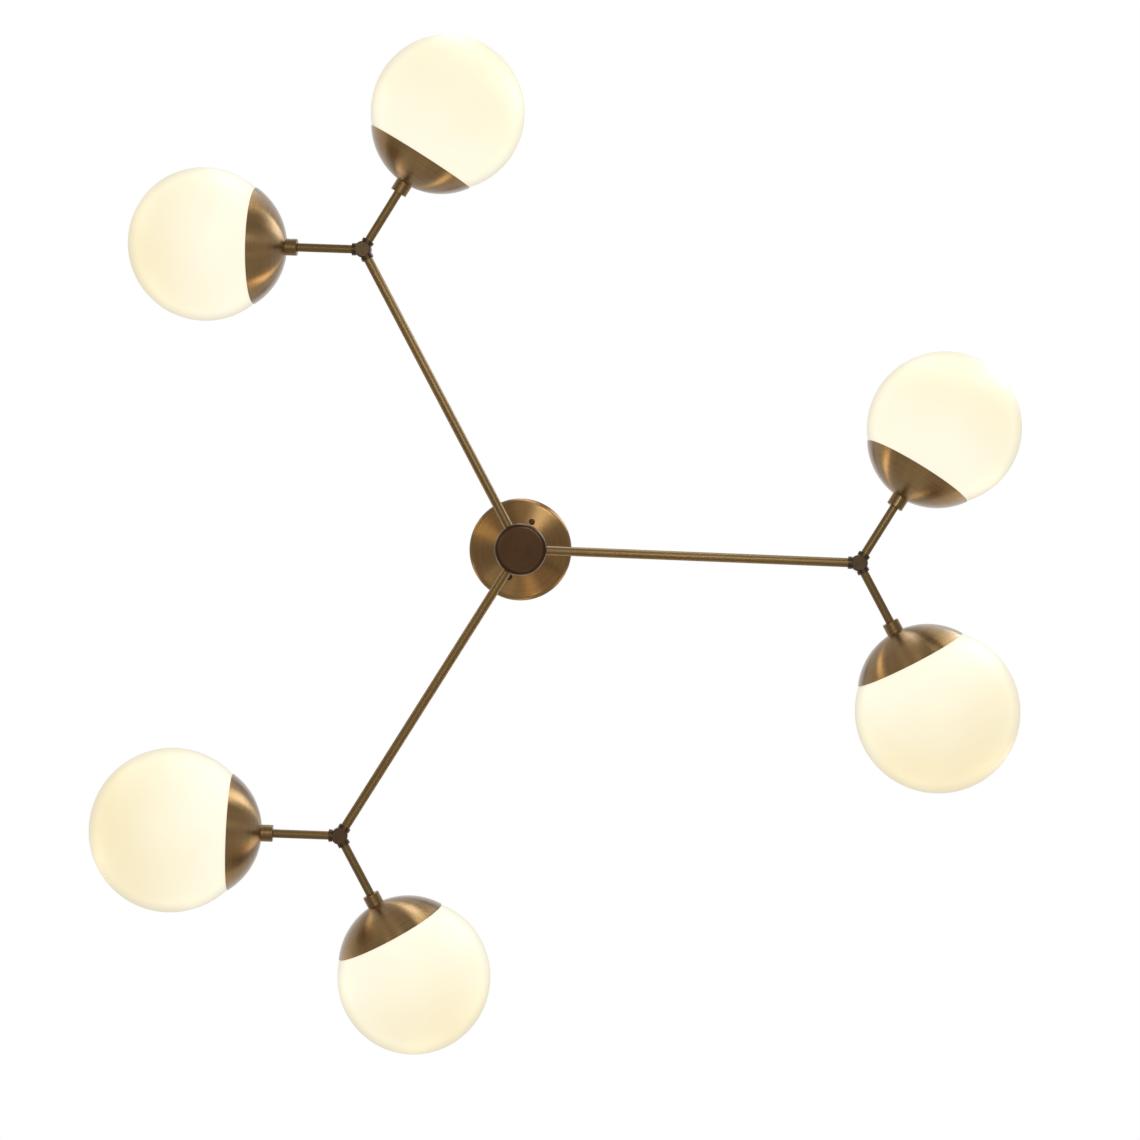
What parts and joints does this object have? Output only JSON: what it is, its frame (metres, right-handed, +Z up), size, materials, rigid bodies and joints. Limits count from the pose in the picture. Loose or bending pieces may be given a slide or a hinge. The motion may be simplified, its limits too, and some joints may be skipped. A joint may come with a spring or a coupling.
{
  "type": "sputnik chandelier",
  "caption": "Hanging ceiling light: a stem from a round canopy to a hub with level arms, each ending in a Y of opal glass globes in brass caps.",
  "frame": {"origin": "centre of the canopy in the ceiling plane, midway between the crossbar's two slots", "axes": "+Z up along the stem, +X along the crossbar's slots, +Y from X and Z by the right-hand rule"},
  "size_m": [0.9452, 0.994, 0.5936],
  "materials": {
    "brass": "brushed, lacquered",
    "zinc_steel": "zinc plated",
    "green_screw": "green",
    "black_plastic": "matt moulded",
    "white_plastic": "matt moulded",
    "orange_plastic": "matt moulded",
    "wire_jacket": "smooth insulation",
    "opal_glass": "opal, glossy outside",
    "bulb_white": "frosted"
  },
  "bodies": {
    "frame": {"crossbar": "zinc_steel", "canopy": "brass", "canopy_screws": "brass", "ground_screw": "green_screw", "top_nipple": "zinc_steel", "bottom_nipple": "zinc_steel", "canopy_ring": "brass", "stem_upper": "brass", "stem_lower": "brass", "stem_coupling": "brass", "lock_nuts": "zinc_steel", "hub_body": "brass", "hub_cover": "brass", "junction_block": "white_plastic", "supply_leads": "wire_jacket", "wire_nuts": "orange_plastic", "arm_1": "brass", "arm_2": "brass", "arm_3": "brass", "arm_lock_nuts": "zinc_steel"},
    "head_1": {"knuckle_1": "brass", "branch_rods_1": "brass", "collars_1": "brass", "cap_1": "brass", "cap_2": "brass", "lampholders_1": "black_plastic", "head_leads_1": "wire_jacket"},
    "globe_1": {"globe_1": "opal_glass", "globe_bush_1": "white_plastic"},
    "bulb_1": {"bulb_1": "bulb_white"},
    "globe_2": {"globe_2": "opal_glass", "globe_bush_2": "white_plastic"},
    "bulb_2": {"bulb_2": "bulb_white"},
    "head_2": {"knuckle_2": "brass", "branch_rods_2": "brass", "collars_2": "brass", "cap_3": "brass", "cap_4": "brass", "lampholders_2": "black_plastic", "head_leads_2": "wire_jacket"},
    "globe_3": {"globe_3": "opal_glass", "globe_bush_3": "white_plastic"},
    "bulb_3": {"bulb_3": "bulb_white"},
    "globe_4": {"globe_4": "opal_glass", "globe_bush_4": "white_plastic"},
    "bulb_4": {"bulb_4": "bulb_white"},
    "head_3": {"knuckle_3": "brass", "branch_rods_3": "brass", "collars_3": "brass", "cap_5": "brass", "cap_6": "brass", "lampholders_3": "black_plastic", "head_leads_3": "wire_jacket"},
    "globe_5": {"globe_5": "opal_glass", "globe_bush_5": "white_plastic"},
    "bulb_5": {"bulb_5": "bulb_white"},
    "globe_6": {"globe_6": "opal_glass", "globe_bush_6": "white_plastic"},
    "bulb_6": {"bulb_6": "bulb_white"}
  },
  "joints": [
    {"name": "head_1_turn", "type": "hinge", "parent": "frame", "child": "head_1", "pos_m": [0.21341, -0.25433, -0.508], "axis": [0.6428, -0.766, 0], "range_deg": [-90, 90]},
    {"name": "globe_1_off", "type": "slide", "parent": "head_1", "child": "globe_1", "axis": [-0.34, -0.938, 0.0679], "range_m": [0, 0.1]},
    {"name": "bulb_1_out", "type": "slide", "parent": "head_1", "child": "bulb_1", "axis": [-0.34, -0.938, 0.0679], "range_m": [0, 0.026]},
    {"name": "globe_2_off", "type": "slide", "parent": "head_1", "child": "globe_2", "axis": [0.9828, 0.1719, -0.0679], "range_m": [0, 0.1]},
    {"name": "bulb_2_out", "type": "slide", "parent": "head_1", "child": "bulb_2", "axis": [0.9828, 0.1719, -0.0679], "range_m": [0, 0.026]},
    {"name": "head_2_turn", "type": "hinge", "parent": "frame", "child": "head_2", "pos_m": [0.11355, 0.31198, -0.508], "axis": [0.342, 0.9397, 0], "range_deg": [-90, 90]},
    {"name": "globe_3_off", "type": "slide", "parent": "head_2", "child": "globe_3", "axis": [0.9847, 0.1737, 0.0151], "range_m": [0, 0.1]},
    {"name": "bulb_3_out", "type": "slide", "parent": "head_2", "child": "bulb_3", "axis": [0.9847, 0.1737, 0.0151], "range_m": [0, 0.026]},
    {"name": "globe_4_off", "type": "slide", "parent": "head_2", "child": "globe_4", "axis": [-0.6427, 0.766, -0.0151], "range_m": [0, 0.1]},
    {"name": "bulb_4_out", "type": "slide", "parent": "head_2", "child": "bulb_4", "axis": [-0.6427, 0.766, -0.0151], "range_m": [0, 0.026]},
    {"name": "head_3_turn", "type": "hinge", "parent": "frame", "child": "head_3", "pos_m": [-0.32696, -0.05765, -0.508], "axis": [-0.9848, -0.1736, 0], "range_deg": [-90, 90]},
    {"name": "globe_5_off", "type": "slide", "parent": "head_3", "child": "globe_5", "axis": [-0.6427, 0.7655, 0.0302], "range_m": [0, 0.1]},
    {"name": "bulb_5_out", "type": "slide", "parent": "head_3", "child": "bulb_5", "axis": [-0.6427, 0.7655, 0.0302], "range_m": [0, 0.026]},
    {"name": "globe_6_off", "type": "slide", "parent": "head_3", "child": "globe_6", "axis": [-0.3421, -0.9392, -0.0302], "range_m": [0, 0.1]},
    {"name": "bulb_6_out", "type": "slide", "parent": "head_3", "child": "bulb_6", "axis": [-0.3421, -0.9392, -0.0302], "range_m": [0, 0.026]}
  ]
}
